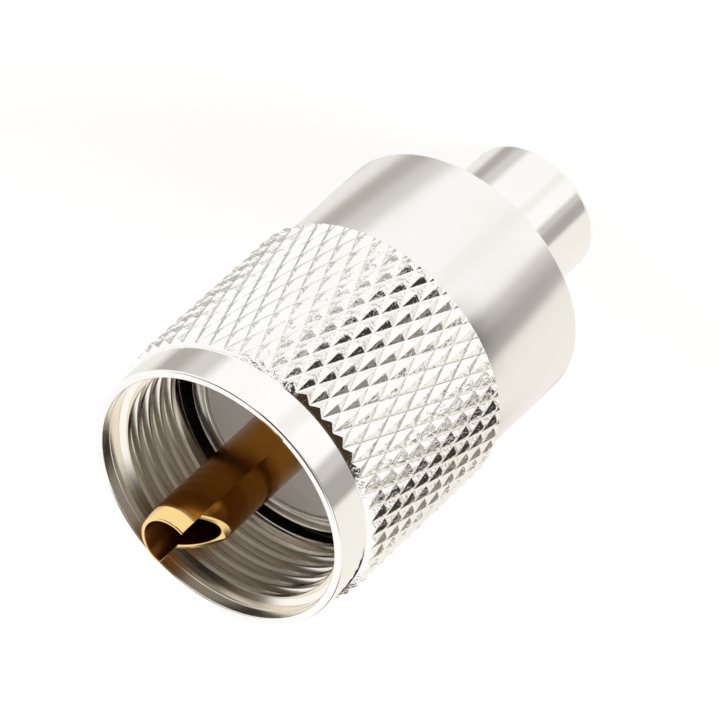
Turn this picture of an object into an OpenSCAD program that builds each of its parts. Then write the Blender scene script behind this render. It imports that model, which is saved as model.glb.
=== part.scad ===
// UHF cable plug: knurled coupling nut, turned body, insulated hollow centre pin and crimp ferrule.
// The plug stands on its ferrule with the mouth up. Z runs along the axis, from the ferrule's end.

/* [Coupling nut] */
// Length of the nut from its mouth to its rear face
nut_len = 15.2; // [13.5:0.05:18]
// Wall of the nut from the points of the knurl in to the crests of the thread
nut_wall = 1.58; // [1.4:0.02:2]
// Step from the points of the knurl down to the plain ring at the mouth
knurl_rise = 0.5; // [0.45:0.05:0.7]
// Length of the plain ring
ring_len = 2.4; // [1:0.1:4]
// Wall of the plain ring round the counterbore
ring_wall = 0.5; // [0.3:0.05:0.8]
// Depth of the smooth counterbore
mouth_depth = 1.3; // [0.6:0.1:2.4]
// Length of the internal thread
thread_len = 5.5; // [4:0.1:6]
// Depth of the relief behind the thread, and of the groove for the retaining ring
relief_depth = 0.53; // [0.35:0.01:0.7]
// Width of the lip between that groove and the relief
lip_len = 1.53; // [0.8:0.01:2.5]
// Bevel on the edges of the mouth
mouth_bevel = 0.14; // [0.05:0.01:0.25]

/* [Knurl] */
// Diameter over the points of the diamonds
knurl_d = 18.0; // [17.8:0.1:19]
// Number of diamonds around the nut
knurl_count = 54; // [36:1:64]
// Angle of the grooves to the axis
knurl_angle = 21.4; // [15:0.2:30]
// Depth of the grooves below the points
knurl_depth = 0.3; // [0.2:0.01:0.44]
// Distance from the front edge of the knurl to the row of crossings that the pattern starts from
knurl_lead = 1.14; // [0.8:0.01:1.3]
// Turn of the knurl about the axis
knurl_turn = 2.3; // [-3:0.1:3]
// Bevel at the rear edge, which takes off the ends of the grooves
rear_bevel = 0.35; // [0.1:0.01:0.45]

/* [Retaining ring] */
// Thickness of the split ring along the axis
ring_t = 1.0; // [0.6:0.05:1.4]
// Width of the split in the ring
ring_split = 2.2; // [1:0.1:4]
// Wall of the nut behind the groove that holds the ring
groove_wall = 1.25; // [0.8:0.05:1.6]
// How far the nut slides forward on the body
nut_travel = 2.5; // [1:0.1:3]

/* [Body] */
// Step from the points of the knurl down to the smooth barrel
barrel_step = 0.6; // [0.2:0.05:1]
// Length of the smooth barrel
barrel_len = 8.2; // [6:0.05:14]
// Bevel on the edges of the barrel
barrel_bevel = 0.2; // [0.05:0.05:0.6]
// Step from the flange at the front of the body down to the neck
neck_step = 1.0; // [0.8:0.05:1.3]
// Wall of the neck round the core of the insulators
neck_wall = 1.3; // [1:0.05:1.8]
// Wall of the flange round the head of the front insulator
flange_wall = 1.2; // [0.9:0.05:1.4]
// Length of the flange
flange_len = 3.15; // [2.6:0.05:4]
// Bevel on the rim of the flange
rim_bevel = 0.35; // [0.1:0.05:0.6]
// Diameter of the crimp stem over its ridges
stem_d = 5.3; // [4.8:0.1:6]
// Bore of the crimp stem, for the cable's inner insulation
stem_bore_d = 4.1; // [3.6:0.1:4.3]
// Number of ridges on the crimp stem
stem_ridges = 6; // [3:1:9]
// Distance from the end of the ferrule to the end of the stem
stem_recess = 0.9; // [0.3:0.1:2]

/* [Ferrule] */
// Outer diameter of the crimp ferrule
ferrule_d = 8.45; // [7.8:0.05:9]
// Wall of the ferrule
ferrule_wall = 0.75; // [0.4:0.05:0.9]
// Length of the ferrule
ferrule_len = 7.9; // [6:0.1:14]
// Radius of the rounded edge at the end of the ferrule
ferrule_round = 0.35; // [0.1:0.05:0.38]
// Length of the boss that centres the ferrule
boss_len = 1.2; // [0.6:0.1:2]

/* [Insulators] */
// Depth of the seat of the head below the rim
head_depth = 1.9; // [1.2:0.1:2.1]
// Distance from the rim down to the face of the insulator
face_recess = 0.2; // [0:0.05:0.6]
// Length of the core of the front insulator
front_core_len = 3.2; // [2:0.1:4.5]
// Solid metal between the insulators and the rear of the barrel
floor_len = 3.5; // [2:0.1:5]

/* [Centre contact] */
// Diameter of the pin
pin_d = 3.96; // [3.8:0.02:4]
// Wall of the pin round its bore, which is open at the nose
pin_wall = 0.41; // [0.38:0.01:0.6]
// Depth of that bore from the nose
pin_bore_depth = 12.5; // [6:0.5:14]
// Bore through the rest of the contact, for the cable's conductor
conductor_bore_d = 2.4; // [1.6:0.1:2.6]
// Step from the pin down to its shank inside the insulators
shank_step = 0.18; // [0.16:0.01:0.25]
// Length of the pin ahead of the rim of the body
pin_reach = 11.85; // [9:0.05:13]
// Step from the pin down to its nose
nose_step = 0.18; // [0.1:0.01:0.3]
// Length of the taper behind the nose
nose_len = 0.95; // [0.3:0.05:1.5]
// Length of the notch wall that runs along the axis
notch_len = 1.7; // [1:0.1:2.5]
// Distance of the notch wall from the axis
notch_offset = 0.25; // [0:0.05:0.8]
// Turn of the notch about the axis
notch_turn = 5; // [-20:1:20]
// Step from the pin up to the collar that locks it between the insulators
collar_step = 0.82; // [0.5:0.02:1.4]
// Length of the collar
collar_len = 1.0; // [0.6:0.1:1.6]
// Length of the tail of the contact behind the collar
tail_len = 4.1; // [2:0.1:5]

/* [Clearances] */
// Radial gap of pieces that are pressed or pushed together
fit_gap = 0.02; // [0.01:0.01:0.04]
// Gap of pieces that turn or slide on each other
run_gap = 0.06; // [0.03:0.01:0.1]
// Radial gap between the flange and the crests of the nut's thread
flange_gap = 0.12; // [0.08:0.01:0.3]

/* [Hidden] */
$fn = 96;
// Margin by which a cutting shape runs past the solid that it cuts
past = 1;

// Colours as the photograph shows them
BRIGHT_NICKEL = [0.86, 0.85, 0.82];
SATIN_NICKEL = [0.80, 0.78, 0.75];
GOLD = [0.83, 0.62, 0.24];
WHITE_PTFE = [0.93, 0.92, 0.89];
SPRING_BRONZE = [0.72, 0.58, 0.38];

// Radii of the nut, from the points of the knurl inwards
knurl_r = knurl_d / 2;
ring_r = knurl_r - knurl_rise;
mouth_r = ring_r - ring_wall;
thread_r = knurl_r - nut_wall;
relief_r = thread_r + relief_depth;

// Radii of the body and the insulators, which follow the nut's bore
barrel_r = knurl_r - barrel_step;
flange_r = thread_r - flange_gap;
neck_r = flange_r - neck_step;
head_r = flange_r - flange_wall;
core_r = neck_r - neck_wall;

// Radii of the pin, its shank and its collar
pin_r = pin_d / 2;
shank_r = pin_r - shank_step;
collar_r = pin_r + collar_step;

// Radii of the ferrule's bore and of the boss that fills it
ferrule_bore_r = ferrule_d / 2 - ferrule_wall;
boss_r = ferrule_bore_r - fit_gap;

// Places along the axis, from the end of the ferrule up to the nose of the pin
barrel_z = ferrule_len;
seat_z = barrel_z + barrel_len;
mouth_z = seat_z + nut_len;
knurl_front_z = mouth_z - ring_len;
groove_z = seat_z + groove_wall;
ring_z = groove_z + run_gap;
flange_z = ring_z + ring_t + nut_travel + run_gap;
rim_z = flange_z + flange_len;
head_z = rim_z - head_depth;
face_z = rim_z - face_recess;
collar_z = head_z - front_core_len - collar_len;
tail_z = collar_z - tail_len;
floor_z = barrel_z + floor_len;
nose_z = rim_z + pin_reach;
thread_top_z = mouth_z - mouth_depth;
thread_end_z = thread_top_z - thread_len;
groove_top_z = ring_z + ring_t + run_gap;
lip_top_z = groove_top_z + lip_len;

// Spacing of the lattice of the knurl: a column is half a diamond wide, a row half a diamond long
knurl_columns = 2 * knurl_count;
knurl_row = 2 * PI * knurl_r / knurl_columns / tan(knurl_angle);
knurl_rows = ceil((knurl_front_z + knurl_lead - seat_z) / knurl_row) + 1;

// A ring or tube about the axis, from z0 up to z1
module tube(r_out, r_in, z0, z1) {
    difference() {
        translate([0, 0, z0]) cylinder(r = r_out, h = z1 - z0);
        translate([0, 0, z0 - past]) cylinder(r = r_in, h = z1 - z0 + 2 * past);
    }
}

// A plain rod about the axis, from z0 up to z1, as a solid or as the hole that it cuts
module rod(r, z0, z1) {
    translate([0, 0, z0]) cylinder(r = r, h = z1 - z0);
}

// Lattice of the knurl: grooves cross where row plus column is even, and a point stands between them
function knurl_point(column, row) =
    let (r = knurl_r - ((column + row) % 2 == 0 ? knurl_depth : 0), angle = 360 * column / knurl_columns)
    [r * cos(angle), r * sin(angle), knurl_front_z + knurl_lead - row * knurl_row];
function knurl_index(column, row) = row * knurl_columns + column % knurl_columns;

// Two facets between four neighbours of the lattice, split along the groove
function knurl_facets(column, row) =
    let (a = knurl_index(column, row), b = knurl_index(column + 1, row),
         c = knurl_index(column + 1, row + 1), d = knurl_index(column, row + 1))
    (column + row) % 2 == 0 ? [[a, b, c], [a, c, d]] : [[a, b, d], [b, c, d]];

// Bar covered in diamond points, longer at both ends than the knurled band
module knurl_bar() {
    points = [for (row = [0:knurl_rows]) for (column = [0:knurl_columns - 1]) knurl_point(column, row)];
    facets = [for (row = [0:knurl_rows - 1]) for (column = [0:knurl_columns - 1])
                  each knurl_facets(column, row)];
    front = [for (column = [knurl_columns - 1:-1:0]) knurl_index(column, 0)];
    rear = [for (column = [0:knurl_columns - 1]) knurl_index(column, knurl_rows)];
    polyhedron(points = points, faces = concat(facets, [front, rear]), convexity = 4);
}

// Turned blank of the knurled band, with a rear bevel and a front chamfer that meets the plain ring
module knurl_blank() {
    outer_r = knurl_r + past;
    inner_r = ring_r - knurl_rise;
    rotate_extrude()
        polygon([[0, seat_z], [knurl_r - rear_bevel, seat_z], [outer_r, seat_z + rear_bevel + past],
                 [outer_r, knurl_front_z + ring_r - outer_r],
                 [inner_r, knurl_front_z + ring_r - inner_r], [0, knurl_front_z + ring_r - inner_r]]);
}

// Space inside the nut: groove for the ring, relief, crests of the thread and counterbore
module nut_bore() {
    rotate_extrude()
        polygon([[0, seat_z - past], [thread_r, seat_z - past],
                 [thread_r, groove_z], [relief_r, groove_z],
                 [relief_r, groove_top_z], [thread_r, groove_top_z],
                 [thread_r, lip_top_z], [relief_r, lip_top_z],
                 [relief_r, thread_end_z], [thread_r, thread_end_z],
                 [thread_r, thread_top_z], [mouth_r, thread_top_z + mouth_r - thread_r],
                 [mouth_r, mouth_z - mouth_bevel], [mouth_r + mouth_bevel, mouth_z],
                 [mouth_r + mouth_bevel, mouth_z + past], [0, mouth_z + past]]);
}

module coupling_nut() {
    ring_root_z = knurl_front_z - knurl_rise;
    color(BRIGHT_NICKEL) difference() {
        union() {
            intersection() {
                rotate(knurl_turn) knurl_bar();
                knurl_blank();
            }
            rotate_extrude()
                polygon([[0, ring_root_z], [ring_r, ring_root_z], [ring_r, mouth_z - mouth_bevel],
                         [ring_r - mouth_bevel, mouth_z], [0, mouth_z]]);
        }
        nut_bore();
    }
}

module retaining_ring() {
    color(SPRING_BRONZE) difference() {
        tube(relief_r - run_gap, neck_r + run_gap, ring_z, ring_z + ring_t);
        translate([0, -ring_split / 2, ring_z - past]) cube([relief_r + past, ring_split, ring_t + 2 * past]);
    }
}

// Outline of one ridge of the crimp stem, a saw tooth that holds the braid
function stem_ridge(index, pitch, tip_r, root_r) =
    let (z = stem_recess + index * pitch)
    [[root_r, z], [tip_r, z + 0.7 * pitch], [tip_r, z + 0.9 * pitch], [root_r, z + pitch]];

module plug_body() {
    stem_r = stem_d / 2;
    bore_r = stem_bore_d / 2;
    root_r = (stem_r + bore_r) / 2;
    boss_z = barrel_z - boss_len;
    pitch = (boss_z - stem_recess) / (stem_ridges + 1);
    ridges = [for (index = [0:stem_ridges - 1]) each stem_ridge(index, pitch, stem_r, root_r)];
    outside = [[root_r, boss_z], [boss_r, boss_z], [boss_r, barrel_z],
               [barrel_r - barrel_bevel, barrel_z], [barrel_r, barrel_z + barrel_bevel],
               [barrel_r, seat_z - barrel_bevel], [barrel_r - barrel_bevel, seat_z],
               [neck_r, seat_z], [neck_r, flange_z], [flange_r, flange_z],
               [flange_r, rim_z - rim_bevel], [flange_r - rim_bevel, rim_z]];
    inside = [[head_r, rim_z], [head_r, head_z], [core_r, head_z], [core_r, floor_z],
              [bore_r, floor_z], [bore_r, stem_recess]];
    color(SATIN_NICKEL) rotate_extrude() polygon(concat(ridges, outside, inside));
}

module front_insulator() {
    color(WHITE_PTFE) difference() {
        union() {
            rod(head_r - fit_gap, head_z, face_z);
            rod(core_r - fit_gap, head_z - front_core_len, head_z);
        }
        rod(shank_r + fit_gap, head_z - front_core_len - past, face_z + past);
    }
}

module rear_insulator() {
    color(WHITE_PTFE) difference() {
        rod(core_r - fit_gap, floor_z, head_z - front_core_len);
        rod(collar_r + fit_gap, collar_z, collar_z + collar_len + past);
        rod(shank_r + fit_gap, tail_z - past, collar_z + past);
        rod(stem_bore_d / 2, floor_z - past, tail_z);
    }
}

module centre_contact() {
    notch_end_z = nose_z - notch_len;
    reach = pin_r + past;
    color(GOLD) difference() {
        union() {
            rod(shank_r, tail_z, face_z);
            rod(pin_r, face_z, nose_z - nose_len);
            rod(collar_r, collar_z, collar_z + collar_len);
            translate([0, 0, nose_z - nose_len]) cylinder(r1 = pin_r, r2 = pin_r - nose_step, h = nose_len);
        }
        rod(conductor_bore_d / 2, tail_z - past, nose_z);
        rod(pin_r - pin_wall, nose_z - pin_bore_depth, nose_z + past);
        rotate(notch_turn) rotate([90, 0, 0]) translate([0, 0, -reach])
            linear_extrude(2 * reach)
                polygon([[-notch_offset, nose_z + past], [-notch_offset, notch_end_z],
                         [-notch_offset - reach, notch_end_z - reach], [-notch_offset - reach, nose_z + past]]);
    }
}

module crimp_ferrule() {
    outer_r = ferrule_d / 2;
    rounding = [for (angle = [0:15:90])
                    [outer_r - ferrule_round + ferrule_round * sin(angle), ferrule_round - ferrule_round * cos(angle)]];
    color(BRIGHT_NICKEL) rotate_extrude()
        polygon(concat([[ferrule_bore_r, ferrule_len], [ferrule_bore_r, 0]], rounding, [[outer_r, ferrule_len]]));
}

coupling_nut();
retaining_ring();
plug_body();
front_insulator();
rear_insulator();
centre_contact();
crimp_ferrule();
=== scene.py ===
"""Looks of a UHF cable plug: knurled coupling nut, turned body, gold pin, insulator and crimp ferrule.

The plug stands on its ferrule with the mouth up. Outlines are written in millimetres as radius and
height above the ferrule's foot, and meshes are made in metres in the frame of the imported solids.
"""

import logging
import math
from collections.abc import Iterable
from dataclasses import dataclass, field
from enum import Enum

import bpy
from mathutils import Matrix, Vector


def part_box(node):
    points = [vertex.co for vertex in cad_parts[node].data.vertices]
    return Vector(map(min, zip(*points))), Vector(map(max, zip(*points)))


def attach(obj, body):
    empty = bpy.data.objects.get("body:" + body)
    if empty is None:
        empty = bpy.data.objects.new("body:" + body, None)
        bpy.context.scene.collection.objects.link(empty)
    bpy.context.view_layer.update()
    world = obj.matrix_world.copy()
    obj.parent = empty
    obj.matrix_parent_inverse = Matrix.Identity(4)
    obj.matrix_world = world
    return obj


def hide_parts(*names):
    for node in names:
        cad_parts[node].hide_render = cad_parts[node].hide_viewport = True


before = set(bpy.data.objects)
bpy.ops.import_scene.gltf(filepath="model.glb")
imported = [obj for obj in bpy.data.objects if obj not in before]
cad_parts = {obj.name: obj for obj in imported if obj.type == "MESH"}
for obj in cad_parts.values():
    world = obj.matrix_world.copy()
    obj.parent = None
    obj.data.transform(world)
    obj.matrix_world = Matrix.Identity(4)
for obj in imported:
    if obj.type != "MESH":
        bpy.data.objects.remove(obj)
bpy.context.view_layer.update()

MM = 0.001
log = logging.getLogger("uhf_plug")

Outline = list[tuple[float, float]]
Colour = tuple[float, float, float]


class Body(Enum):
    """Moving bodies of the plug."""

    PLUG = "plug"
    NUT = "nut"


class Slot(Enum):
    """Material slots of the record."""

    BRIGHT_NICKEL = "bright_nickel"
    SATIN_NICKEL = "satin_nickel"
    SPRING_BRONZE = "spring_bronze"
    PTFE = "ptfe"
    GOLD = "gold"


class Cut(Enum):
    """Ways to combine two closed solids."""

    INTERSECT = "INTERSECT"
    DIFFERENCE = "DIFFERENCE"


class NodeBoard:
    """Adds nodes to a tree, each with its settings and inputs in one call."""

    def __init__(self, tree: bpy.types.NodeTree) -> None:
        """Starts on an empty tree.

        Args:
            tree: The geometry, shader or world tree to fill.
        """
        self.tree = tree
        self.kind_prefix = "GeometryNode" if tree.bl_idname == "GeometryNodeTree" else "ShaderNode"

    def feed(self, socket: bpy.types.NodeSocket, value: object) -> None:
        """Links a socket to the input, or sets the input's own value.

        Args:
            socket: The input to feed.
            value: A socket to link, or a plain value.
        """
        if isinstance(value, bpy.types.NodeSocket):
            self.tree.links.new(value, socket)
        else:
            socket.default_value = value

    def add(self, kind: str, inputs: dict[str | int, object] | None = None, **settings: object) -> bpy.types.Node:
        """Adds one node.

        Args:
            kind: Type of the node, with or without its family's prefix.
            inputs: Values or sockets by input name or index.
            **settings: Properties of the node itself.

        Returns:
            The new node.
        """
        full = kind if kind.startswith(("FunctionNode", "ShaderNode", "NodeGroup", "GeometryNode")) \
            else self.kind_prefix + kind
        node = self.tree.nodes.new(full)
        for name, value in settings.items():
            setattr(node, name, value)
        for name, value in (inputs or {}).items():
            self.feed(node.inputs[name], value)
        return node

    def math(self, operation: str, *values: object) -> bpy.types.NodeSocket:
        """Adds a Math node and returns its result."""
        return self.add("ShaderNodeMath", dict(enumerate(values)), operation=operation).outputs[0]

    def join(self, x: object, y: object, z: object) -> bpy.types.NodeSocket:
        """Makes a vector from three numbers."""
        return self.add("ShaderNodeCombineXYZ", {0: x, 1: y, 2: z}).outputs[0]

    def split(self, vector: bpy.types.NodeSocket) -> tuple[bpy.types.NodeSocket, ...]:
        """Returns the three numbers of a vector."""
        return tuple(self.add("ShaderNodeSeparateXYZ", {0: vector}).outputs)

    def ramp(self, value: object, start: float, end: float) -> bpy.types.NodeSocket:
        """Rises smoothly from 0 where the value is start to 1 where it is end."""
        return self.add("ShaderNodeMapRange", {"Value": value, "From Min": start, "From Max": end},
                        interpolation_type="SMOOTHSTEP").outputs["Result"]


def group_tree(name: str, family: str, inputs: dict[str, tuple[str, object]],
               outputs: dict[str, str]) -> tuple[bpy.types.NodeTree, NodeBoard, bpy.types.Node, bpy.types.Node]:
    """Makes a node group with named sockets.

    Args:
        name: Name of the group.
        family: GeometryNodeTree or ShaderNodeTree.
        inputs: Kind of socket and first value, by name.
        outputs: Kind of socket by name.

    Returns:
        The tree, its board, and its input and output nodes.
    """
    tree = bpy.data.node_groups.new(name, family)
    for label, (kind, value) in inputs.items():
        socket = tree.interface.new_socket(label, in_out="INPUT", socket_type="NodeSocket" + kind)
        if value is not None:
            socket.default_value = value
    for label, kind in outputs.items():
        tree.interface.new_socket(label, in_out="OUTPUT", socket_type="NodeSocket" + kind)
    board = NodeBoard(tree)
    return tree, board, board.add("NodeGroupInput"), board.add("NodeGroupOutput")


class MarkGroups:
    """Shader groups for the marks that several finishes share, each built once."""

    _made: dict[str, bpy.types.NodeTree] = {}

    @classmethod
    def fine_scratches(cls) -> bpy.types.NodeTree:
        """Short hairlines that run in all directions over a surface.

        Returns:
            The group, which gives a height and a mask.
        """
        if "fine_scratches" not in cls._made:
            tree, board, start, end = group_tree(
                "fine_scratches", "ShaderNodeTree",
                {"Vector": ("Vector", None), "Scale": ("Float", 600.0), "Cover": ("Float", 0.3)},
                {"Height": "Float", "Mask": "Float"})
            lines = None
            for turn, stretch in ((0.4, 14.0), (-0.9, 18.0), (1.9, 11.0)):
                turned = board.add("VectorRotate", {"Vector": start.outputs["Vector"], "Angle": turn,
                                                    "Axis": (0.3, 0.5, 0.8)})
                drawn = board.add("Mapping", {"Vector": turned.outputs[0], "Scale": (1.0, 1.0 / stretch, 1.0)})
                noise = board.add("TexNoise", {"Vector": drawn.outputs[0], "Scale": start.outputs["Scale"],
                                               "Detail": 3.0, "Roughness": 0.6})
                ridge = board.math("ABSOLUTE", board.math("SUBTRACT", noise.outputs[0], 0.5))
                line = board.math("SUBTRACT", 1.0, board.ramp(ridge, 0.0, 0.02))
                lines = line if lines is None else board.math("MAXIMUM", lines, line)
            patches = board.add("TexNoise", {"Vector": start.outputs["Vector"], "Scale": 260.0, "Detail": 2.0})
            reach = board.math("SUBTRACT", 1.0, start.outputs["Cover"])
            patch = board.math("GREATER_THAN", patches.outputs[0], reach)
            mask = board.math("MULTIPLY", lines, patch)
            board.feed(end.inputs["Mask"], mask)
            board.feed(end.inputs["Height"], board.math("MULTIPLY", mask, -1.0))
            cls._made["fine_scratches"] = tree
        return cls._made["fine_scratches"]

    @classmethod
    def turning_marks(cls) -> bpy.types.NodeTree:
        """Fine rings that a lathe tool leaves round the axis.

        Returns:
            The group, which gives a height.
        """
        if "turning_marks" not in cls._made:
            tree, board, start, end = group_tree(
                "turning_marks", "ShaderNodeTree",
                {"Vector": ("Vector", None), "Pitch": ("Float", 0.06 * MM)}, {"Height": "Float"})
            x, y, z = board.split(start.outputs["Vector"])
            radius = board.math("SQRT", board.math("ADD", board.math("MULTIPLY", x, x),
                                                   board.math("MULTIPLY", y, y)))
            angle = board.math("ARCTAN2", y, x)
            along = board.math("DIVIDE", board.math("ADD", z, radius), start.outputs["Pitch"])
            where = board.join(board.math("MULTIPLY", angle, 0.35), along, 0.0)
            rings = board.add("TexNoise", {"Vector": where, "Scale": 1.0, "Detail": 2.0, "Roughness": 0.7})
            board.feed(end.inputs["Height"], rings.outputs[0])
            cls._made["turning_marks"] = tree
        return cls._made["turning_marks"]

    @classmethod
    def zone(cls) -> bpy.types.NodeTree:
        """Marks the surfaces between two radii and below a level, with a slightly uneven upper edge.

        Returns:
            The group, which gives a mask.
        """
        if "zone" not in cls._made:
            tree, board, start, end = group_tree(
                "zone", "ShaderNodeTree",
                {"Vector": ("Vector", None), "Inner": ("Float", 0.0), "Radius": ("Float", 8.0 * MM),
                 "Top": ("Float", 1.0), "Fade": ("Float", 0.1 * MM)}, {"Mask": "Float"})
            x, y, z = board.split(start.outputs["Vector"])
            radius = board.math("SQRT", board.math("ADD", board.math("MULTIPLY", x, x),
                                                   board.math("MULTIPLY", y, y)))
            inside = board.math("MULTIPLY", board.math("LESS_THAN", radius, start.outputs["Radius"]),
                                board.math("GREATER_THAN", radius, start.outputs["Inner"]))
            ragged = board.add("TexNoise", {"Vector": start.outputs["Vector"], "Scale": 1400.0, "Detail": 3.0})
            level = board.math("ADD", z, board.math("MULTIPLY", ragged.outputs[0], start.outputs["Fade"]))
            below = board.math("DIVIDE", board.math("SUBTRACT", start.outputs["Top"], level), start.outputs["Fade"])
            board.feed(end.inputs["Mask"], board.math("MULTIPLY", inside, board.ramp(below, -1.0, 1.0)))
            cls._made["zone"] = tree
        return cls._made["zone"]

    @classmethod
    def pressed_grain(cls) -> bpy.types.NodeTree:
        """Shallow unevenness that a knurling wheel leaves in the metal it presses.

        Returns:
            The group, which gives a height.
        """
        if "pressed_grain" not in cls._made:
            tree, board, start, end = group_tree(
                "pressed_grain", "ShaderNodeTree",
                {"Vector": ("Vector", None), "Scale": ("Float", 3600.0)}, {"Height": "Float"})
            dents = board.add("TexNoise", {"Vector": start.outputs["Vector"], "Scale": start.outputs["Scale"],
                                           "Detail": 2.0, "Roughness": 0.55})
            board.feed(end.inputs["Height"], dents.outputs[0])
            cls._made["pressed_grain"] = tree
        return cls._made["pressed_grain"]

    @classmethod
    def plating_cloud(cls) -> bpy.types.NodeTree:
        """Faint clouds of tint and gloss in a plated surface.

        Returns:
            The group, which gives a colour and a roughness.
        """
        if "plating_cloud" not in cls._made:
            tree, board, start, end = group_tree(
                "plating_cloud", "ShaderNodeTree",
                {"Vector": ("Vector", None), "Colour": ("Color", (0.9, 0.9, 0.9, 1.0)),
                 "Tint": ("Color", (0.9, 0.88, 0.84, 1.0)), "Roughness": ("Float", 0.1),
                 "Spread": ("Float", 0.04)},
                {"Colour": "Color", "Roughness": "Float"})
            broad = board.add("TexNoise", {"Vector": start.outputs["Vector"], "Scale": 180.0, "Detail": 3.0})
            fine = board.add("TexNoise", {"Vector": start.outputs["Vector"], "Scale": 2600.0, "Detail": 2.0})
            mix = board.add("Mix", {0: board.ramp(broad.outputs[0], 0.4, 0.65)}, data_type="RGBA")
            board.feed(mix.inputs[6], start.outputs["Colour"])
            board.feed(mix.inputs[7], start.outputs["Tint"])
            board.feed(end.inputs["Colour"], mix.outputs[2])
            swing = board.math("SUBTRACT", board.math("ADD", broad.outputs[0], fine.outputs[0]), 1.0)
            change = board.math("MULTIPLY", swing, start.outputs["Spread"])
            board.feed(end.inputs["Roughness"], board.math("ADD", start.outputs["Roughness"], change))
            cls._made["plating_cloud"] = tree
        return cls._made["plating_cloud"]


@dataclass(frozen=True)
class Zone:
    """Part of a finish between two radii and below a level, in metres, with a tone of painted shade and a duller
    gloss.
    """

    inner: float
    radius: float
    top: float
    fade: float
    colour: Colour
    duller: float = 0.0


@dataclass(frozen=True)
class PlatedFinish:
    """Plated or bare metal with clouds, lathe rings and hairlines, and zones of painted shade."""

    name: str
    colour: Colour
    tint: Colour
    roughness: float
    spread: float = 0.03
    ring_pitch: float = 0.06 * MM
    ring_depth: float = 0.0
    scratch_cover: float = 0.3
    scratch_depth: float = 0.0
    grain_from: float = 0.0
    grain_depth: float = 0.0
    painted_shade_zones: tuple[Zone, ...] = ()

    def zone_mask(self, board: NodeBoard, place: bpy.types.NodeSocket, zone: Zone) -> bpy.types.NodeSocket:
        """Adds the mask of a zone.

        Args:
            board: The material's nodes.
            place: Place on the piece.
            zone: The zone to mark.

        Returns:
            A value that is 1 in the zone.
        """
        group = board.add("ShaderNodeGroup", node_tree=MarkGroups.zone())
        for label, value in (("Vector", place), ("Inner", zone.inner), ("Radius", zone.radius),
                             ("Top", zone.top), ("Fade", zone.fade)):
            board.feed(group.inputs[label], value)
        return group.outputs["Mask"]

    def material(self) -> bpy.types.Material:
        """Builds the material.

        Returns:
            A metal whose colour, gloss and relief vary over the surface.
        """
        material = bpy.data.materials.new(self.name)
        material.use_nodes = True
        board = NodeBoard(material.node_tree)
        shader = material.node_tree.nodes["Principled BSDF"]
        shader.inputs["Metallic"].default_value = 1.0
        place = board.add("TexCoord").outputs["Object"]
        cloud = board.add("ShaderNodeGroup", node_tree=MarkGroups.plating_cloud())
        for label, value in (("Vector", place), ("Colour", (*self.colour, 1.0)), ("Tint", (*self.tint, 1.0)),
                             ("Roughness", self.roughness), ("Spread", self.spread)):
            board.feed(cloud.inputs[label], value)
        colour, gloss = cloud.outputs["Colour"], cloud.outputs["Roughness"]
        # Each zone paints shade into the colour: a darker or warmer tone in a recess, with duller gloss.
        for zone in self.painted_shade_zones:
            mask = self.zone_mask(board, place, zone)
            toned = board.add("Mix", {0: mask}, data_type="RGBA")
            board.feed(toned.inputs[6], colour)
            board.feed(toned.inputs[7], (*zone.colour, 1.0))
            colour = toned.outputs[2]
            gloss = board.math("ADD", gloss, board.math("MULTIPLY", mask, zone.duller))
        board.feed(shader.inputs["Base Color"], colour)
        board.feed(shader.inputs["Roughness"], gloss)
        rings = board.add("ShaderNodeGroup", node_tree=MarkGroups.turning_marks())
        board.feed(rings.inputs["Vector"], place)
        board.feed(rings.inputs["Pitch"], self.ring_pitch)
        scratches = board.add("ShaderNodeGroup", node_tree=MarkGroups.fine_scratches())
        board.feed(scratches.inputs["Vector"], place)
        board.feed(scratches.inputs["Cover"], self.scratch_cover)
        height = board.math("ADD", board.math("MULTIPLY", rings.outputs["Height"], self.ring_depth),
                            board.math("MULTIPLY", scratches.outputs["Height"], self.scratch_depth))
        if self.grain_depth:
            grain = board.add("ShaderNodeGroup", node_tree=MarkGroups.pressed_grain())
            board.feed(grain.inputs["Vector"], place)
            plain = self.zone_mask(board, place, Zone(-1.0, self.grain_from, 1.0, 0.1 * MM, self.colour))
            pressed = board.math("MULTIPLY", board.math("SUBTRACT", 1.0, plain), self.grain_depth)
            height = board.math("ADD", height, board.math("MULTIPLY", grain.outputs["Height"], pressed))
        bump = board.add("Bump", {"Strength": 1.0, "Distance": 1.0, "Height": height})
        board.feed(shader.inputs["Normal"], bump.outputs[0])
        return material


@dataclass(frozen=True)
class InsulatorFinish:
    """White fluoropolymer with a soft waxy gloss and faint turning rings."""

    name: str = "white_ptfe"
    colour: Colour = (0.91, 0.875, 0.81)
    roughness: float = 0.42
    ring_depth: float = 0.0006 * MM

    def material(self) -> bpy.types.Material:
        """Builds the material.

        Returns:
            A waxy white plastic that light enters a little.
        """
        material = bpy.data.materials.new(self.name)
        material.use_nodes = True
        board = NodeBoard(material.node_tree)
        shader = material.node_tree.nodes["Principled BSDF"]
        shader.inputs["Subsurface Weight"].default_value = 0.25
        shader.inputs["Subsurface Scale"].default_value = 0.6 * MM
        place = board.add("TexCoord").outputs["Object"]
        cloud = board.add("ShaderNodeGroup", node_tree=MarkGroups.plating_cloud())
        warm = tuple(channel * 0.97 for channel in self.colour)
        for label, value in (("Vector", place), ("Colour", (*self.colour, 1.0)), ("Tint", (*warm, 1.0)),
                             ("Roughness", self.roughness), ("Spread", 0.08)):
            board.feed(cloud.inputs[label], value)
        board.feed(shader.inputs["Base Color"], cloud.outputs["Colour"])
        board.feed(shader.inputs["Roughness"], cloud.outputs["Roughness"])
        rings = board.add("ShaderNodeGroup", node_tree=MarkGroups.turning_marks())
        board.feed(rings.inputs["Vector"], place)
        board.feed(rings.inputs["Pitch"], 0.1 * MM)
        height = board.math("MULTIPLY", rings.outputs["Height"], self.ring_depth)
        bump = board.add("Bump", {"Strength": 1.0, "Distance": 1.0, "Height": height})
        board.feed(shader.inputs["Normal"], bump.outputs[0])
        return material


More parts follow.
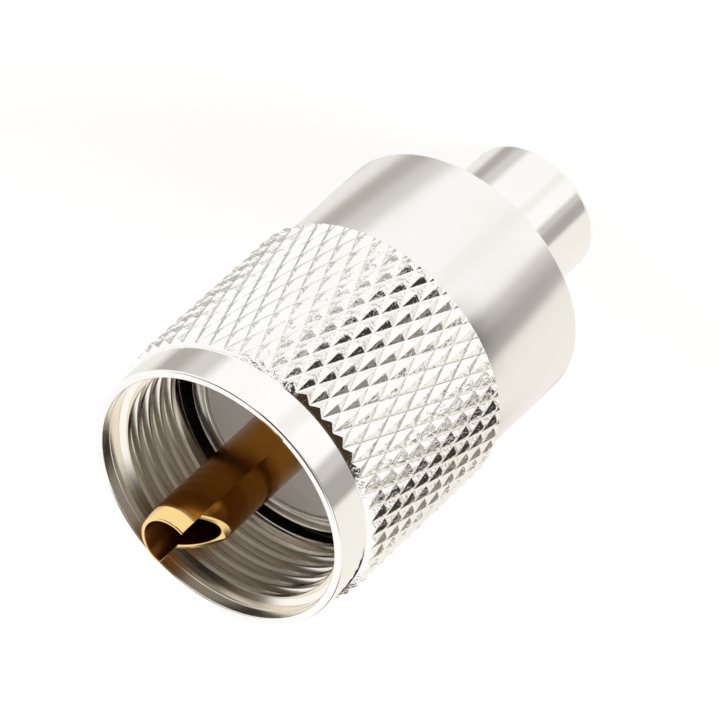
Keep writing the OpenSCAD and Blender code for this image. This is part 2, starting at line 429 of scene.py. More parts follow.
def softened(corners: Iterable[tuple[float, ...]], steps: int = 4) -> Outline:
    """Rounds the corners of a closed outline.

    Args:
        corners: Radius and height of each corner in millimetres, and a rounding radius where it has one.
        steps: Number of chords in each rounding.

    Returns:
        The outline with an arc in place of each corner that has a rounding radius.
    """
    corners = list(corners)
    outline: Outline = []
    for index, corner in enumerate(corners):
        point = Vector(corner[:2])
        rounding = corner[2] if len(corner) > 2 else 0.0
        if not rounding:
            outline.append(tuple(point))
            continue
        before = (Vector(corners[index - 1][:2]) - point).normalized()
        after = (Vector(corners[(index + 1) % len(corners)][:2]) - point).normalized()
        half = before.angle(after) / 2
        centre = point + (before + after).normalized() * (rounding / math.sin(half))
        start = point + before * (rounding / math.tan(half)) - centre
        end = point + after * (rounding / math.tan(half)) - centre
        sweep = start.angle_signed(end)
        for step in range(steps + 1):
            outline.append(tuple(centre + Matrix.Rotation(-sweep * step / steps, 2) @ start))
    return outline


def turned(name: str, outline: Outline, segments: int = 256) -> bpy.types.Object:
    """Turns a closed outline round the axis.

    Args:
        name: Name of the new object.
        outline: Radius and height of each point in millimetres, in order round the section.
        segments: Number of steps round the axis.

    Returns:
        A closed ring-shaped solid with its faces outward.
    """
    count = len(outline)
    area = sum(outline[i - 1][0] * outline[i][1] - outline[i][0] * outline[i - 1][1] for i in range(count))
    section = outline if area > 0 else outline[::-1]
    vertices = [(radius * math.cos(angle) * MM, radius * math.sin(angle) * MM, height * MM)
                for angle in (math.tau * step / segments for step in range(segments))
                for radius, height in section]
    faces = [(step * count + i, (step + 1) % segments * count + i,
              (step + 1) % segments * count + (i + 1) % count, step * count + (i + 1) % count)
             for step in range(segments) for i in range(count)]
    mesh = bpy.data.meshes.new(name)
    mesh.from_pydata(vertices, [], faces)
    return link(bpy.data.objects.new(name, mesh))


def link(thing: bpy.types.Object) -> bpy.types.Object:
    """Puts an object in the scene and returns it."""
    bpy.context.scene.collection.objects.link(thing)
    return thing


def discard(*things: bpy.types.Object) -> None:
    """Removes helper objects that only served to shape another."""
    for thing in things:
        bpy.data.objects.remove(thing)


def baked(thing: bpy.types.Object) -> bpy.types.Object:
    """Replaces an object's mesh by what its modifiers make of it, and removes them.

    Args:
        thing: The object, which keeps its name and place.

    Returns:
        The same object.
    """
    evaluated = thing.evaluated_get(bpy.context.evaluated_depsgraph_get())
    result = bpy.data.meshes.new_from_object(evaluated)
    thing.modifiers.clear()
    thing.data = result
    return thing


def combined(thing: bpy.types.Object, tool: bpy.types.Object, how: Cut) -> bpy.types.Object:
    """Cuts one closed solid with another and removes the tool.

    Args:
        thing: The solid that stays.
        tool: The solid that shapes it.
        how: Which part of the first solid stays.

    Returns:
        The first solid, cut.
    """
    modifier = thing.modifiers.new("cut", "BOOLEAN")
    modifier.object = tool
    modifier.operation = how.value
    modifier.solver = "EXACT"
    baked(thing)
    discard(tool)
    return thing


def dressed(thing: bpy.types.Object, material: bpy.types.Material, crease: float = 28.0) -> bpy.types.Object:
    """Gives a piece its material and smooth shading up to an angle.

    Args:
        thing: The finished mesh object.
        material: The only material that it gets.
        crease: Angle in degrees above which an edge stays sharp.

    Returns:
        The same object.
    """
    thing.data.materials.clear()
    thing.data.materials.append(material)
    thing.data.polygons.foreach_set("use_smooth", [True] * len(thing.data.polygons))
    thing.data.polygons.foreach_set("material_index", [0] * len(thing.data.polygons))
    thing.data.set_sharp_from_angle(angle=math.radians(crease))
    thing.data.update()
    return thing


def report(thing: bpy.types.Object) -> None:
    """Logs the name and size of a finished piece."""
    log.info("%s: %d faces", thing.name, len(thing.data.polygons))


def set_input(modifier: bpy.types.NodesModifier, label: str, value: object) -> None:
    """Sets a modifier's input, found by its name, through the socket's identifier."""
    socket = next(item for item in modifier.node_group.interface.items_tree
                  if item.name == label and getattr(item, "in_out", "") == "INPUT")
    modifier[socket.identifier] = value


@dataclass
class CouplingNut:
    """Coupling nut with a diamond knurl, a plain ring at the mouth and a 5/8-24 internal thread."""

    seat_z: float = field(default_factory=lambda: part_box("coupling_nut")[0].z / MM)
    mouth_z: float = field(default_factory=lambda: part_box("coupling_nut")[1].z / MM)
    tip_r: float = field(default_factory=lambda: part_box("coupling_nut")[1].x / MM)
    ring_r: float = 8.5
    ring_len: float = 2.4
    mouth_r: float = 8.0
    mouth_depth: float = 1.3
    thread_r: float = 7.42
    thread_len: float = 5.5
    relief_r: float = 7.95
    groove_z: float = 17.35
    groove_len: float = 1.12
    lip_len: float = 1.53
    edge_round: float = 0.09

    diamonds: int = 54
    groove_angle: float = 21.4
    groove_depth: float = 0.30
    knurl_lead: float = 1.14
    knurl_turn: float = 2.3
    rear_bevel: float = 0.35
    spare_rows: int = 2

    pitch: float = 25.4 / 24
    thread_depth: float = 0.56
    root_flat: float = 0.14
    mouth_start: float = 100.0

    @property
    def row(self) -> float:
        """Half the length of a diamond along the axis."""
        return math.pi * self.tip_r / self.diamonds / math.tan(math.radians(self.groove_angle))

    def blank(self) -> bpy.types.Object:
        """Turns the nut before it is knurled and threaded.

        Returns:
            A closed ring, wider than the knurl along the knurled band.
        """
        knurl_front = self.mouth_z - self.ring_len
        over = self.tip_r + 1.0
        groove_top = self.groove_z + self.groove_len
        lip_top = groove_top + self.lip_len
        thread_top = self.mouth_z - self.mouth_depth
        thread_end = thread_top - self.thread_len
        soft = self.edge_round
        return turned("nut_blank", softened([
            (self.thread_r, self.seat_z, soft), (self.tip_r - self.rear_bevel, self.seat_z, 0.05),
            (over, self.seat_z + self.rear_bevel + over - self.tip_r),
            (over, knurl_front + self.ring_r - over), (self.ring_r, knurl_front, 0.05),
            (self.ring_r, self.mouth_z, soft * 1.4), (self.mouth_r, self.mouth_z, soft),
            (self.mouth_r, thread_top + self.mouth_r - self.thread_r, 0.05), (self.thread_r, thread_top),
            (self.thread_r, thread_end), (self.relief_r, thread_end, 0.1),
            (self.relief_r, lip_top, 0.1), (self.thread_r, lip_top, soft),
            (self.thread_r, groove_top, soft), (self.relief_r, groove_top),
            (self.relief_r, self.groove_z), (self.thread_r, self.groove_z, soft)], steps=8))

    def diamond(self) -> bpy.types.Object:
        """Makes one diamond of the knurl, in steps of the lattice, its height from 0 to 1.

        Returns:
            A low pyramid with rounded feet, open below.
        """
        levels = ((0.0, 0.0), (0.06, 0.0), (0.10, 0.02), (0.14, 0.055), (0.4, 0.335), (0.65, 0.59),
                  (0.86, 0.79), (0.94, 0.84))
        vertices = [(x * (1 - inset), y * (1 - inset), height)
                    for inset, height in levels for x, y in ((1, 0), (0, 1), (-1, 0), (0, -1))]
        vertices.append((0.0, 0.0, 0.85))
        faces = [(level * 4 + side, level * 4 + (side + 1) % 4, level * 4 + 4 + (side + 1) % 4, level * 4 + 4 + side)
                 for level in range(len(levels) - 1) for side in range(4)]
        top = (len(levels) - 1) * 4
        faces += [(top + side, top + (side + 1) % 4, top + 4) for side in range(4)]
        mesh = bpy.data.meshes.new("diamond")
        mesh.from_pydata(vertices, [], faces)
        return link(bpy.data.objects.new("coupling_nut_detailed", mesh))

    def knurl_tree(self) -> bpy.types.NodeTree:
        """Builds the tree that repeats a diamond round the nut and cuts it to the turned blank.

        Returns:
            A geometry tree with named inputs for the sizes.
        """
        tree, board, start, end = group_tree(
            "knurled_nut", "GeometryNodeTree",
            {"Diamond": ("Geometry", None), "Diamonds": ("Int", 54), "Rows": ("Int", 13),
             "Tip Radius": ("Float", 9.0), "Depth": ("Float", 0.42), "Row Length": ("Float", 1.34),
             "First Row": ("Float", 31.9), "Turn": ("Float", 0.0), "Unevenness": ("Float", 0.03),
             "Seed": ("Int", 7), "Blank": ("Object", None), "Thread": ("Object", None),
             "Material": ("Material", None)},
            {"Geometry": "Geometry"})
        given = start.outputs
        index = board.add("InputIndex").outputs[0]
        row = board.math("FLOOR", board.math("DIVIDE", index, given["Diamonds"]))
        place = board.math("SUBTRACT", index, board.math("MULTIPLY", row, given["Diamonds"]))
        odd = board.math("MODULO", board.math("ADD", row, 1.0), 2.0)
        column = board.math("ADD", board.math("MULTIPLY", place, 2.0), odd)
        spots = board.add("Points", {"Count": board.math("MULTIPLY", given["Diamonds"], given["Rows"]),
                                     "Position": board.join(column, board.math("MULTIPLY", row, -1.0), 0.0)})
        low = board.math("SUBTRACT", 1.0, given["Unevenness"])
        uneven = board.add("FunctionNodeRandomValue", {"Seed": given["Seed"]}, data_type="FLOAT")
        board.feed(uneven.inputs[2], low)
        board.feed(uneven.inputs[3], 1.0)
        field_of = board.add("InstanceOnPoints", {
            "Points": spots.outputs[0], "Instance": given["Diamond"],
            "Scale": board.join(1.0, 1.0, uneven.outputs[1])})
        flat = board.add("RealizeInstances", {0: field_of.outputs[0]})
        x, y, height = board.split(board.add("InputPosition").outputs[0])
        angle = board.math("ADD", board.math("DIVIDE", board.math("MULTIPLY", x, math.pi), given["Diamonds"]),
                           given["Turn"])
        sink = board.math("MULTIPLY", board.math("SUBTRACT", 1.0, height), given["Depth"])
        radius = board.math("MULTIPLY", board.math("SUBTRACT", given["Tip Radius"], sink), MM)
        level = board.math("ADD", given["First Row"], board.math("MULTIPLY", y, given["Row Length"]))
        level = board.math("MULTIPLY", level, MM)
        wrapped = board.add("SetPosition", {
            "Geometry": flat.outputs[0],
            "Position": board.join(board.math("MULTIPLY", radius, board.math("COSINE", angle)),
                                   board.math("MULTIPLY", radius, board.math("SINE", angle)), level)})
        shell = board.add("MergeByDistance", {"Geometry": wrapped.outputs[0], "Distance": 0.002 * MM})
        open_edge = board.add("FunctionNodeCompare", {}, data_type="INT", operation="EQUAL")
        board.feed(open_edge.inputs[2], board.add("InputMeshEdgeNeighbors").outputs[0])
        board.feed(open_edge.inputs[3], 1)
        ends = board.add("ExtrudeMesh", {"Mesh": shell.outputs[0], "Selection": open_edge.outputs[0],
                                         "Offset Scale": 0.0}, mode="EDGES")
        here = board.split(board.add("InputPosition").outputs[0])[2]
        middle = (self.seat_z + self.mouth_z) / 2 * MM
        reach = (self.mouth_z - self.seat_z) / 2 * MM + 1.0 * MM
        side = board.math("SIGN", board.math("SUBTRACT", here, middle))
        tip = board.math("ADD", middle, board.math("MULTIPLY", side, reach))
        closed = board.add("SetPosition", {"Geometry": ends.outputs["Mesh"], "Selection": ends.outputs["Top"],
                                           "Position": board.join(0.0, 0.0, tip)})
        bar = board.add("MergeByDistance", {"Geometry": closed.outputs[0], "Distance": 0.002 * MM})
        blank = board.add("ObjectInfo", {"Object": given["Blank"]})
        thread = board.add("ObjectInfo", {"Object": given["Thread"]})
        knurled = board.add("MeshBoolean", {}, operation="INTERSECT", solver="MANIFOLD")
        for solid in (blank.outputs["Geometry"], bar.outputs[0]):
            board.tree.links.new(solid, knurled.inputs["Mesh 2"])
        threaded = board.add("MeshBoolean", {"Mesh 1": knurled.outputs["Mesh"],
                                             "Mesh 2": thread.outputs["Geometry"]},
                             operation="DIFFERENCE", solver="MANIFOLD")
        whole = board.add("RealizeInstances", {0: threaded.outputs["Mesh"]})
        painted = board.add("SetMaterial", {"Geometry": whole.outputs[0], "Material": given["Material"]})
        board.feed(end.inputs[0], painted.outputs[0])
        return tree

    def thread_tree(self) -> bpy.types.NodeTree:
        """Builds the tree that sweeps the thread's V along a helix.

        Returns:
            A geometry tree with named inputs for the sizes.
        """
        tree, board, start, end = group_tree(
            "helical_thread", "GeometryNodeTree",
            {"Geometry": ("Geometry", None), "Radius": ("Float", 7.4), "Pitch": ("Float", 1.058),
             "Turns": ("Float", 5.0), "Steps": ("Int", 128), "Bottom": ("Float", 24.0), "Start": ("Float", 0.0),
             "Depth": ("Float", 0.56), "Root Flat": ("Float", 0.14), "Material": ("Material", None)},
            {"Geometry": "Geometry"})
        given = start.outputs
        count = board.math("MULTIPLY", given["Turns"], given["Steps"])
        line = board.add("CurvePrimitiveLine")
        points = board.add("ResampleCurve", {"Curve": line.outputs[0], "Count": count}, mode="COUNT")
        turns = board.math("DIVIDE", board.add("InputIndex").outputs[0], given["Steps"])
        angle = board.math("ADD", board.math("MULTIPLY", turns, math.tau), given["Start"])
        radius = board.math("MULTIPLY", given["Radius"], MM)
        level = board.math("ADD", given["Bottom"], board.math("MULTIPLY", turns, given["Pitch"]))
        helix = board.add("SetPosition", {
            "Geometry": points.outputs[0],
            "Position": board.join(board.math("MULTIPLY", radius, board.math("COSINE", angle)),
                                   board.math("MULTIPLY", radius, board.math("SINE", angle)),
                                   board.math("MULTIPLY", level, MM))})
        upright = board.add("SetCurveNormal", {"Curve": helix.outputs[0]}, mode="Z_UP")
        mouth = board.math("ADD", given["Root Flat"], board.math("MULTIPLY", given["Depth"],
                                                                 4 * math.tan(math.radians(30))))
        vee = board.add("CurvePrimitiveQuadrilateral", {
            "Height": board.math("MULTIPLY", given["Depth"], 2 * MM),
            "Bottom Width": board.math("MULTIPLY", mouth, MM),
            "Top Width": board.math("MULTIPLY", given["Root Flat"], MM), "Offset": 0.0}, mode="TRAPEZOID")
        outward = board.add("Transform", {"Geometry": vee.outputs[0], "Rotation": (0.0, 0.0, math.radians(90))})
        swept = board.add("CurveToMesh", {"Curve": upright.outputs[0], "Profile Curve": outward.outputs[0],
                                          "Fill Caps": True})
        whole = board.add("RealizeInstances", {0: swept.outputs[0]})
        painted = board.add("SetMaterial", {"Geometry": whole.outputs[0], "Material": given["Material"]})
        board.feed(end.inputs[0], painted.outputs[0])
        return tree

    def thread(self, material: bpy.types.Material) -> bpy.types.Object:
        """Makes the solid that cuts the thread, from the relief up into the counterbore.

        Args:
            material: Finish of the thread's flanks.

        Returns:
            A closed helical ridge.
        """
        cutter = link(bpy.data.objects.new("thread_cutter", bpy.data.meshes.new("thread_cutter")))
        modifier = cutter.modifiers.new("thread", "NODES")
        modifier.node_group = self.thread_tree()
        thread_top = self.mouth_z - self.mouth_depth
        run_out = 0.6 * self.pitch
        bottom = thread_top - self.thread_len - run_out
        for label, value in (("Radius", self.thread_r), ("Pitch", self.pitch),
                             ("Turns", (self.thread_len + 2 * run_out) / self.pitch), ("Steps", 128),
                             ("Bottom", bottom), ("Start", math.radians(self.mouth_start)),
                             ("Depth", self.thread_depth), ("Root Flat", self.root_flat), ("Material", material)):
            set_input(modifier, label, value)
        return baked(cutter)

    def build(self, material: bpy.types.Material) -> bpy.types.Object:
        """Makes the knurled and threaded nut and puts it in the place of its solid.

        Args:
            material: Its nickel plate.

        Returns:
            The finished piece.
        """
        blank = self.blank()
        thread = self.thread(material)
        nut = self.diamond()
        modifier = nut.modifiers.new("knurl", "NODES")
        modifier.node_group = self.knurl_tree()
        knurl_front = self.mouth_z - self.ring_len
        first = knurl_front + self.knurl_lead + self.spare_rows * self.row
        rows = math.ceil((first - self.seat_z) / self.row) + 1
        for label, value in (("Diamonds", self.diamonds), ("Rows", rows), ("Tip Radius", self.tip_r),
                             ("Depth", self.groove_depth), ("Row Length", self.row), ("First Row", first),
                             ("Turn", math.radians(self.knurl_turn)), ("Unevenness", 0.06), ("Seed", 7),
                             ("Blank", blank), ("Thread", thread), ("Material", material)):
            set_input(modifier, label, value)
        baked(nut)
        discard(blank, thread)
        dressed(nut, material, crease=15.0)
        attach(nut, Body.NUT.value)
        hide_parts("coupling_nut")
        report(nut)
        return nut


@dataclass
class PlugBody:
    """Turned body: crimp stem, smooth barrel, neck and flange in one piece."""

    seat_z: float = field(default_factory=lambda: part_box("coupling_nut")[0].z / MM)
    barrel_z: float = field(default_factory=lambda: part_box("crimp_ferrule")[1].z / MM)
    rim_z: float = field(default_factory=lambda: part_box("plug_body")[1].z / MM)
    barrel_r: float = field(default_factory=lambda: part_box("plug_body")[1].x / MM)
    stem_z: float = field(default_factory=lambda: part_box("plug_body")[0].z / MM)
    barrel_round: float = 0.16
    neck_r: float = 6.3
    flange_r: float = 7.3
    flange_len: float = 3.15
    rim_bevel: float = 0.35
    head_r: float = 6.1
    head_depth: float = 1.9
    core_r: float = 5.0
    floor_len: float = 3.5
    boss_r: float = 3.455
    boss_len: float = 1.2
    stem_r: float = 2.65
    bore_r: float = 2.05
    stem_ridges: int = 6

    def build(self, material: bpy.types.Material) -> bpy.types.Object:
        """Turns the body and puts it in the place of its solid.

        Args:
            material: Its satin nickel plate.

        Returns:
            The finished piece.
        """
        boss_z = self.barrel_z - self.boss_len
        root_r = (self.stem_r + self.bore_r) / 2
        pitch = (boss_z - self.stem_z) / (self.stem_ridges + 1)
        ridges = []
        for index in range(self.stem_ridges):
            foot = self.stem_z + index * pitch
            ridges += [(root_r, foot), (self.stem_r, foot + 0.7 * pitch), (self.stem_r, foot + 0.9 * pitch),
                       (root_r, foot + pitch)]
        edge, fine = self.barrel_round, 0.06
        outline = softened([
            *ridges, (root_r, boss_z), (self.boss_r, boss_z), (self.boss_r, self.barrel_z),
            (self.barrel_r, self.barrel_z, edge), (self.barrel_r, self.seat_z, edge),
            (self.neck_r, self.seat_z), (self.neck_r, self.rim_z - self.flange_len),
            (self.flange_r, self.rim_z - self.flange_len, fine),
            (self.flange_r, self.rim_z - self.rim_bevel, fine),
            (self.flange_r - self.rim_bevel, self.rim_z, fine), (self.head_r, self.rim_z, fine),
            (self.head_r, self.rim_z - self.head_depth), (self.core_r, self.rim_z - self.head_depth),
            (self.core_r, self.barrel_z + self.floor_len), (self.bore_r, self.barrel_z + self.floor_len),
            (self.bore_r, self.stem_z)])
        body = dressed(turned("plug_body_turned", outline), material)
        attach(body, Body.PLUG.value)
        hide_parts("plug_body")
        report(body)
        return body


@dataclass
class CrimpFerrule:
    """Tube at the rear that is crimped over the cable's braid."""

    height: float = field(default_factory=lambda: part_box("crimp_ferrule")[1].z / MM)
    outer_r: float = field(default_factory=lambda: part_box("crimp_ferrule")[1].x / MM)
    wall: float = 0.75
    foot_round: float = 0.35

    def build(self, material: bpy.types.Material) -> bpy.types.Object:
        """Turns the ferrule and puts it in the place of its solid.

        Args:
            material: Its nickel plate.

        Returns:
            The finished piece.
        """
        bore_r = self.outer_r - self.wall
        outline = softened([(bore_r, 0.0), (self.outer_r, 0.0, self.foot_round), (self.outer_r, self.height),
                            (bore_r, self.height)], steps=8)
        ferrule = dressed(turned("crimp_ferrule_turned", outline), material)
        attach(ferrule, Body.PLUG.value)
        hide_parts("crimp_ferrule")
        report(ferrule)
        return ferrule


@dataclass
class CentreContact:
    """Hollow gold pin with a tapered, notched nose, a shank and a collar inside the insulators."""

    nose_z: float = field(default_factory=lambda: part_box("centre_contact")[1].z / MM)
    tail_z: float = field(default_factory=lambda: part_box("centre_contact")[0].z / MM)
    face_z: float = field(default_factory=lambda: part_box("front_insulator")[1].z / MM)
    core_z: float = field(default_factory=lambda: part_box("front_insulator")[0].z / MM)
    pin_r: float = 1.98
    pin_wall: float = 0.41
    bore_depth: float = 12.5
    conductor_r: float = 1.2
    shank_step: float = 0.18
    collar_step: float = 0.82
    collar_len: float = 1.0
    nose_step: float = 0.18
    nose_len: float = 0.95
    notch_len: float = 1.7
    notch_offset: float = 0.25
    notch_turn: float = 5.0

    def notch(self) -> bpy.types.Object:
        """Makes the block that cuts one side off the nose.

        Returns:
            A closed prism across the pin.
        """
        reach = self.pin_r + 1.0
        end = self.nose_z - self.notch_len
        section = [(-self.notch_offset, self.nose_z + 1.0), (-self.notch_offset, end),
                   (-self.notch_offset - reach, end - reach), (-self.notch_offset - reach, self.nose_z + 1.0)]
        turn = Matrix.Rotation(math.radians(self.notch_turn), 3, "Z")
        vertices = [turn @ Vector((x, y, z)) * MM for y in (-reach, reach) for x, z in section]
        sides = [(i, (i + 1) % 4, (i + 1) % 4 + 4, i + 4) for i in range(4)]
        mesh = bpy.data.meshes.new("notch")
        mesh.from_pydata(vertices, [], [(3, 2, 1, 0), (4, 5, 6, 7), *sides])
        return link(bpy.data.objects.new("notch", mesh))

    def build(self, material: bpy.types.Material) -> bpy.types.Object:
        """Turns the contact, notches its nose and puts it in the place of its solid.

        Args:
            material: Its gold plate.

        Returns:
            The finished piece.
        """
        bore_r = self.pin_r - self.pin_wall
        shank_r = self.pin_r - self.shank_step
        collar_r = self.pin_r + self.collar_step
        bore_end = self.nose_z - self.bore_depth
        fine = 0.05
        outline = softened([
            (self.conductor_r, self.tail_z), (shank_r, self.tail_z, fine),
            (shank_r, self.core_z - self.collar_len), (collar_r, self.core_z - self.collar_len, fine),
            (collar_r, self.core_z, fine), (shank_r, self.core_z), (shank_r, self.face_z),
            (self.pin_r, self.face_z), (self.pin_r, self.nose_z - self.nose_len, 0.3),
            (self.pin_r - self.nose_step, self.nose_z, 0.1), (bore_r, self.nose_z, 0.08),
            (bore_r, bore_end), (self.conductor_r, bore_end)])
        pin = combined(turned("centre_contact_notched", outline, 192), self.notch(), Cut.DIFFERENCE)
        edge = pin.modifiers.new("edge", "BEVEL")
        edge.width = 0.035 * MM
        edge.segments = 2
        edge.limit_method = "ANGLE"
        edge.angle_limit = math.radians(40)
        dressed(baked(pin), material)
        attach(pin, Body.PLUG.value)
        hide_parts("centre_contact")
        report(pin)
        return pin


@dataclass
class Insulators:
    """White insulators: the front one shows in the mouth, the rear one is hidden in the body."""

    face_z: float = field(default_factory=lambda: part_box("front_insulator")[1].z / MM)
    core_z: float = field(default_factory=lambda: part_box("front_insulator")[0].z / MM)
    head_r: float = field(default_factory=lambda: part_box("front_insulator")[1].x / MM)
    head_len: float = 1.7
    core_r: float = 4.98
    hole_r: float = 1.82

    def build(self, material: bpy.types.Material) -> bpy.types.Object:
        """Turns the front insulator, and dresses the rear one as it is.

        Args:
            material: Their white plastic.

        Returns:
            The front insulator.
        """
        outline = softened([
            (self.hole_r, self.core_z), (self.core_r, self.core_z), (self.core_r, self.face_z - self.head_len),
            (self.head_r, self.face_z - self.head_len), (self.head_r, self.face_z, 0.08),
            (self.hole_r, self.face_z)])
        front = dressed(turned("front_insulator_turned", outline), material)
        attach(front, Body.PLUG.value)
        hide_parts("front_insulator")
        report(front)
        paint(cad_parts["rear_insulator"], material)
        return front


def paint(node: bpy.types.Object, material: bpy.types.Material) -> None:
    """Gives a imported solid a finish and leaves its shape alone."""
    node.data.materials.clear()
    node.data.materials.append(material)


@dataclass(frozen=True)
class Card:
    """Dark or grey card of the studio, as bright metal sees it round the plug.

    The azimuth turns from -Y towards -X. The card reaches its width and its height to either side of its
    middle and fades out beyond them over its softness. All of these are in degrees.
    """

    azimuth: float
    elevation: float
    width: float
    height: float
    side_soft: float
    top_soft: float
    shade: Colour

    def cover(self, board: NodeBoard, x: object, y: object, elevation: object) -> bpy.types.NodeSocket:
        """Adds the nodes that tell how far the card covers a direction.

        Args:
            board: The world's nodes.
            x: First part of the direction.
            y: Second part of the direction.
            elevation: Elevation of the direction, in degrees.

        Returns:
            A value from 0 to 1.
        """
        turned_view = board.add("VectorRotate", {"Vector": board.join(x, y, 0.0),
                                                 "Angle": math.radians(self.azimuth + 90.0)}, rotation_type="Z_AXIS")
        along, across, _ = board.split(turned_view.outputs[0])
        beside = board.math("MULTIPLY", board.math("ABSOLUTE", board.math("ARCTAN2", across, along)),
                            math.degrees(1.0))
        above = board.math("ABSOLUTE", board.math("SUBTRACT", elevation, self.elevation))
        return board.math("MULTIPLY", board.ramp(beside, self.width + self.side_soft, self.width),
                          board.ramp(above, self.height + self.top_soft, self.height))


@dataclass
class Studio:
    """White table and surroundings, soft lamps, and the camera at the photograph's angle."""

    cards: tuple[Card, ...] = (
        Card(18.0, 66.0, 44.0, 30.0, 7.0, 7.0, (0.05, 0.033, 0.018)),
        Card(0.0, 92.0, 180.0, 24.0, 1.0, 12.0, (0.07, 0.048, 0.028)),
        Card(-92.0, 64.0, 36.0, 16.0, 10.0, 7.0, (0.12, 0.088, 0.06)),
        Card(40.5, -13.0, 10.5, 14.0, 4.0, 4.0, (0.05, 0.04, 0.03)),
        Card(65.0, -13.0, 13.0, 13.0, 5.0, 4.0, (0.30, 0.28, 0.255)),
        Card(20.0, -12.0, 7.0, 13.0, 5.0, 4.0, (0.50, 0.48, 0.45)),
        Card(134.0, -16.0, 14.0, 14.0, 5.0, 4.0, (0.05, 0.04, 0.03)),
        Card(49.5, -40.0, 13.5, 14.0, 7.0, 3.0, (0.60, 0.585, 0.56)),
        Card(56.0, -40.0, 6.0, 14.0, 9.0, 3.0, (0.70, 0.69, 0.68)),
        Card(126.0, -40.0, 60.0, 40.0, 6.0, 3.0, (0.90, 0.88, 0.825)),
        Card(-101.0, -40.0, 18.0, 13.0, 13.0, 4.0, (0.66, 0.65, 0.63)),
        Card(-114.0, -40.0, 6.0, 13.0, 16.0, 4.0, (0.68, 0.66, 0.63)),
        Card(-155.0, -40.0, 25.0, 16.0, 6.0, 4.0, (0.84, 0.83, 0.80)),
        Card(-5.0, -40.0, 4.0, 12.0, 6.0, 4.0, (0.92, 0.91, 0.89)),
    )
    mirror_white: float = 1.08
    ambient: float = 0.55
    floor_size: float = 0.6
    floor_colour: Colour = (0.93, 0.92, 0.905)
    floor_lift: float = 0.72
    toward: Vector = Vector((0.0, -0.787, 0.617))
    up: Vector = Vector((0.734, -0.419, -0.5345))
    aim: Vector = Vector((0.28, -6.87, 22.53))
    distance: float = 446.27
    lens: float = 400.0

    def surroundings(self) -> None:
        """Builds the world: white to the camera and to metal, apart from the cards, and plain to the rest."""
        world = bpy.data.worlds.new("studio")
        bpy.context.scene.world = world
        world.use_nodes = True
        world.node_tree.nodes.clear()
        board = NodeBoard(world.node_tree)
        x, y, z = board.split(board.add("TexCoord").outputs["Generated"])
        elevation = board.math("MULTIPLY", board.math("ARCSINE", z), math.degrees(1.0))
        colour: object = (self.mirror_white, self.mirror_white, self.mirror_white, 1.0)
        for card in self.cards:
            shaded = board.add("Mix", {0: card.cover(board, x, y, elevation)}, data_type="RGBA",
                               blend_type="MULTIPLY")
            board.feed(shaded.inputs[6], colour)
            board.feed(shaded.inputs[7], (*card.shade, 1.0))
            colour = shaded.outputs[2]
        path = board.add("LightPath").outputs
        mirrored = board.math("MAXIMUM", path["Is Glossy Ray"], path["Is Transmission Ray"])
        plain = board.add("Background", {"Color": (1.0, 0.995, 0.985, 1.0), "Strength": self.ambient})
        cards = board.add("Background", {"Color": colour, "Strength": 1.0})
        white = board.add("Background", {"Color": (1.0, 1.0, 1.0, 1.0), "Strength": 1.0})
        seen = board.add("MixShader", {0: mirrored, 1: plain.outputs[0], 2: cards.outputs[0]})
        whole = board.add("MixShader", {0: path["Is Camera Ray"], 1: seen.outputs[0], 2: white.outputs[0]})
        board.add("OutputWorld", {"Surface": whole.outputs[0]})

    def floor(self) -> None:
        """Lays the white table top, which shows the plug's soft shadow."""
        half = self.floor_size / 2
        mesh = bpy.data.meshes.new("floor")
        mesh.from_pydata([(-half, -half, 0.0), (half, -half, 0.0), (half, half, 0.0), (-half, half, 0.0)], [],
                         [(0, 1, 2, 3)])
        table = link(bpy.data.objects.new("floor", mesh))
        table.visible_glossy = False
        material = bpy.data.materials.new("white_table")
        material.use_nodes = True
        board = NodeBoard(material.node_tree)
        shader = material.node_tree.nodes["Principled BSDF"]
        shader.inputs["Base Color"].default_value = (*self.floor_colour, 1.0)
        shader.inputs["Roughness"].default_value = 0.9
        shader.inputs["Specular IOR Level"].default_value = 0.0
        lift = board.add("Emission", {"Color": (1.0, 0.998, 0.99, 1.0), "Strength": 1.0})
        camera = board.add("LightPath").outputs["Is Camera Ray"]
        mix = board.add("MixShader", {0: board.math("MULTIPLY", camera, self.floor_lift), 1: shader.outputs[0],
                                      2: lift.outputs[0]})
        output = material.node_tree.nodes["Material Output"]
        board.feed(output.inputs["Surface"], mix.outputs[0])
        mesh.materials.append(material)

    def lamp(self, name: str, place: Vector, size: float, power: float) -> None:
        """Hangs a soft square lamp that faces the plug.

        Args:
            name: Name of the lamp.
            place: Its middle, in millimetres.
            size: Its side, in millimetres.
            power: Its power in watts.
        """
        light = bpy.data.lights.new(name, "AREA")
        light.size = size * MM
        light.energy = power
        lamp = link(bpy.data.objects.new(name, light))
        lamp.location = place * MM
        lamp.rotation_mode = "QUATERNION"
        lamp.rotation_quaternion = (place - self.aim).to_track_quat("Z", "Y")
        lamp.visible_glossy = False

    def camera(self) -> None:
        """Sets up the camera at the photograph's distance, angle and framing."""
        data = bpy.data.cameras.new("camera")
        data.lens = self.lens
        data.sensor_width = 36.0
        data.clip_start = 0.01
        data.clip_end = 10.0
        camera = link(bpy.data.objects.new("camera", data))
        back = self.toward.normalized()
        right = self.up.cross(back).normalized()
        up = back.cross(right)
        place = (self.aim + back * self.distance) * MM
        camera.matrix_world = Matrix.Translation(place) @ Matrix((right, up, back)).transposed().to_4x4()
        bpy.context.scene.camera = camera

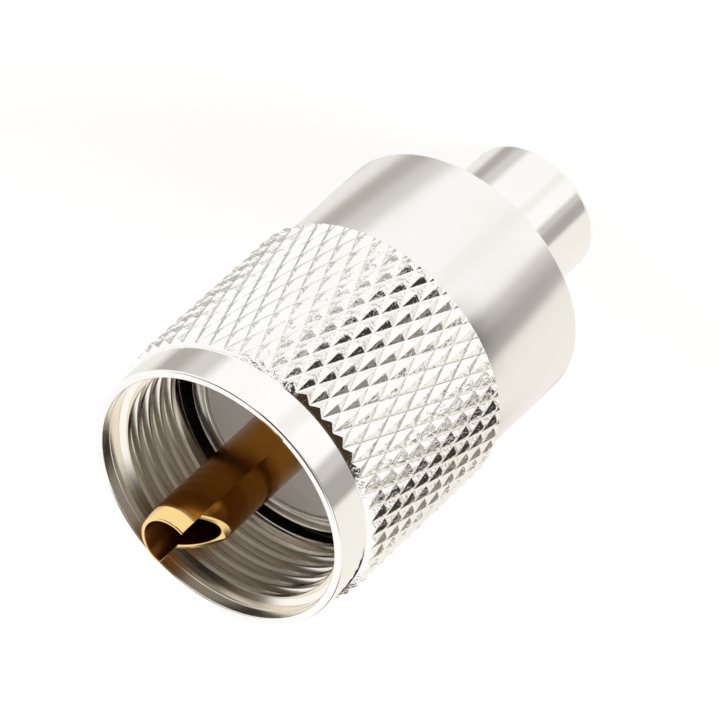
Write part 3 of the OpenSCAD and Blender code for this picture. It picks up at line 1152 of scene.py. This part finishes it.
    def build(self) -> None:
        """Builds the surroundings, the floor, the lamps and the camera."""
        self.surroundings()
        self.floor()
        self.lamp("key", Vector((-190.0, -230.0, 120.0)), 160.0, 1.6)
        self.lamp("fill", Vector((240.0, 60.0, 110.0)), 200.0, 0.8)
        self.camera()
        bpy.context.scene.view_settings.view_transform = "Standard"


def main() -> None:
    """Builds the plug's pieces and the studio."""
    logging.basicConfig(level=logging.INFO, format="%(name)s %(message)s")
    # Painted shade: inside the bore the nickel is a warmer, darker tint for the brown shade and the gold pin's
    # reflection in the thread.
    bright = PlatedFinish("bright_nickel", (0.93, 0.915, 0.89), (0.91, 0.89, 0.86), 0.08,
                          ring_depth=0.00006 * MM, scratch_cover=0.35, scratch_depth=0.00012 * MM,
                          grain_from=8.56 * MM, grain_depth=0.038 * MM,
                          painted_shade_zones=(Zone(-1.0, 8.02 * MM, 1.0, 0.1 * MM, (0.93, 0.885, 0.81), 0.1),))
    ferrule = PlatedFinish("ferrule_nickel", (0.92, 0.90, 0.875), (0.90, 0.88, 0.85), 0.13,
                           ring_depth=0.0003 * MM, scratch_cover=0.6, scratch_depth=0.0008 * MM)
    satin = PlatedFinish("satin_nickel", (0.90, 0.88, 0.85), (0.885, 0.86, 0.83), 0.2, spread=0.03,
                         ring_pitch=0.05 * MM, ring_depth=0.00025 * MM, scratch_cover=0.4, scratch_depth=0.0002 * MM)
    nose_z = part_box("centre_contact")[1].z
    # Painted shade: the shank below the nose, inside the nut, is a darker amber for the dark interior it reflects,
    # and the hollow of the nose is dark brown for the shade inside it.
    gold = PlatedFinish("gold_plate", (0.90, 0.65, 0.27), (0.84, 0.57, 0.20), 0.14, spread=0.05,
                        ring_depth=0.0005 * MM, scratch_cover=0.3, scratch_depth=0.0003 * MM,
                        painted_shade_zones=(Zone(1.955 * MM, 1.0, nose_z - 1.05 * MM, 0.12 * MM, (0.50, 0.21, 0.032), 0.03),
                               Zone(-1.0, 1.6 * MM, 1.0, 0.1 * MM, (0.26, 0.09, 0.025), 0.1)))
    bronze = PlatedFinish("spring_bronze", (0.72, 0.52, 0.32), (0.62, 0.43, 0.25), 0.3, spread=0.08,
                          ring_depth=0.0005 * MM, scratch_cover=0.4, scratch_depth=0.0005 * MM)
    CouplingNut().build(bright.material())
    PlugBody().build(satin.material())
    CrimpFerrule().build(ferrule.material())
    CentreContact().build(gold.material())
    Insulators().build(InsulatorFinish().material())
    paint(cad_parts["retaining_ring"], bronze.material())
    Studio().build()


if __name__ == "__main__":
    main()
